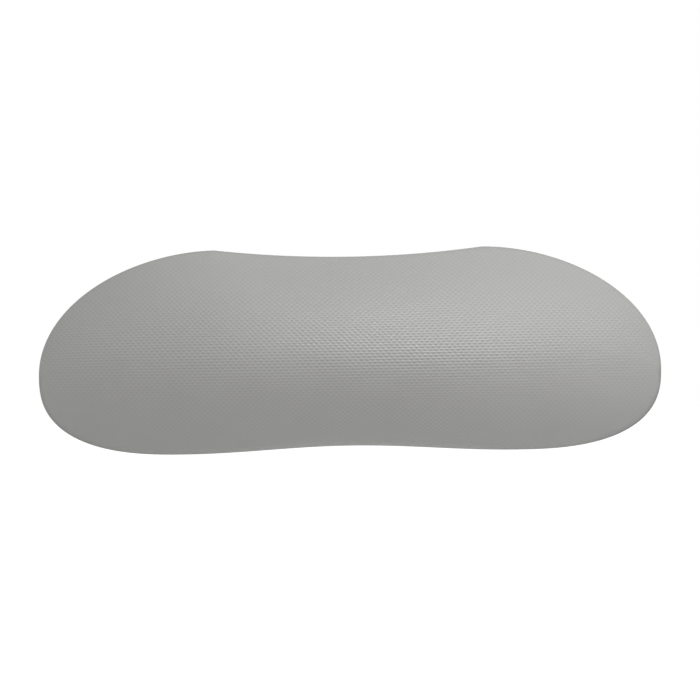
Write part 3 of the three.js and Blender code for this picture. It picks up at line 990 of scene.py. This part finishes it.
def pale_floor():
    """A floor that looks nearly white, throws less light back than it shows, and is clear from below."""
    half = FLOOR_SIZE / 2
    z = LOBE_Z - FLOOR_CLEARANCE
    mesh = bpy.data.meshes.new("floor")
    corners = [(-half, -half, z), (half, -half, z), (half, half, z), (-half, half, z)]
    mesh.from_pydata(corners, [], [(0, 1, 2, 3)])
    piece = new_object("floor", mesh)
    material = bpy.data.materials.new("pale_floor")
    material.use_nodes = True
    tree = material.node_tree
    tree.nodes.clear()
    bounce = add_node(tree, "ShaderNodeBsdfDiffuse", {"Color": (FLOOR_BOUNCE,) * 3 + (1,)})
    shown = add_node(tree, "ShaderNodeBsdfDiffuse", {"Color": (FLOOR_TONE,) * 3 + (1,)})
    glow = add_node(tree, "ShaderNodeEmission", {"Color": WHITE, "Strength": FLOOR_GLOW})
    both = add_node(tree, "ShaderNodeAddShader", {0: shown.outputs[0], 1: glow.outputs[0]})
    above = mixed(tree, seen_directly(tree), bounce, both)
    from_below = add_node(tree, "ShaderNodeNewGeometry").outputs["Backfacing"]
    clear = add_node(tree, "ShaderNodeBsdfTransparent")
    surface = mixed(tree, from_below, above, clear)
    add_node(tree, "ShaderNodeOutputMaterial", {"Surface": surface.outputs[0]})
    mesh.materials.append(material)


def white_world():
    """A background that looks white and lights the object more dimly."""
    world = bpy.data.worlds.new("studio")
    bpy.context.scene.world = world
    world.use_nodes = True
    tree = world.node_tree
    tree.nodes.clear()
    light = add_node(tree, "ShaderNodeBackground", {"Color": WHITE, "Strength": WORLD_LIGHT})
    shown = add_node(tree, "ShaderNodeBackground", {"Color": WHITE, "Strength": 1.0})
    surface = mixed(tree, seen_directly(tree), light, shown)
    add_node(tree, "ShaderNodeOutputWorld", {"Surface": surface.outputs[0]})


def softbox(name, place, target, size, power):
    lamp = bpy.data.lights.new(name, "AREA")
    lamp.shape = "DISK"
    lamp.size = size
    lamp.energy = power
    piece = new_object(name, lamp)
    piece.location = place
    piece.visible_camera = False
    piece.rotation_mode = "QUATERNION"
    piece.rotation_quaternion = (Vector(target) - Vector(place)).to_track_quat("-Z", "Y")


def around(azimuth, elevation, distance):
    """A place round the pillow: azimuth from the front towards +X and elevation up, both in degrees."""
    a, e = math.radians(azimuth), math.radians(elevation)
    x, z = STAGE_MIDDLE[0], STAGE_MIDDLE[2]
    y = STAGE_MIDDLE[1] - distance * math.cos(a) * math.cos(e)
    return x + distance * math.sin(a) * math.cos(e), y, z + distance * math.sin(e)


def studio_lights():
    for name, azimuth, elevation, distance, power in LAMPS:
        softbox(name, around(azimuth, elevation, distance), STAGE_MIDDLE, LAMP_SPREAD * distance, power)


def photo_camera():
    lens = bpy.data.cameras.new("camera")
    lens.sensor_width = SENSOR_MM
    lens.lens = SENSOR_MM * CAMERA_DISTANCE / VIEW_WIDTH
    camera = new_object("camera", lens)
    x, z = CAMERA_AIM
    place = Vector((x, OUTLINE_PLANE_Y - CAMERA_DISTANCE, z))
    turn = Vector((0, 1, 0)).to_track_quat("-Z", "Y").to_matrix().to_4x4()
    camera.matrix_world = Matrix.Translation(place) @ turn @ Matrix.Rotation(CAMERA_ROLL, 4, "Z")
    bpy.context.scene.camera = camera


# Assembly


def dress(piece, body, nodes, material):
    piece.data.materials.clear()
    piece.data.materials.append(material)
    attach(piece, body)
    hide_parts(*nodes)


def build():
    rim = Rim()
    cover = grained_cover(rim)
    dress(cover, "pillow", ["cover_skin"], grained_skin())
    core = foam_body(Rim(stride=FOAM_STRIDE))
    dress(core, "pillow", ["foam_core"], foam())
    dress(rear_panel(rim), "pillow", ["back_panel"], smooth_skin())
    plate_plastic = moulded_plastic("plate_plastic", PLATE_DARK, PLATE_LIGHT)
    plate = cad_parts["stiffener_plate"]
    plate.data.materials.clear()
    plate.data.materials.append(plate_plastic)
    socket_plastic = moulded_plastic("socket_plastic", SOCKET_DARK, SOCKET_LIGHT)
    vinyl = clear_vinyl()
    for name in CUPS:
        dress(snap_socket(name), "pillow", ["cup_socket_" + name], socket_plastic)
        dress(vinyl_cup(name), "suction_cup_" + name, ["suction_cup_" + name], vinyl)


build()
pale_floor()
white_world()
studio_lights()
photo_camera()
bpy.context.scene.view_settings.view_transform = "Standard"
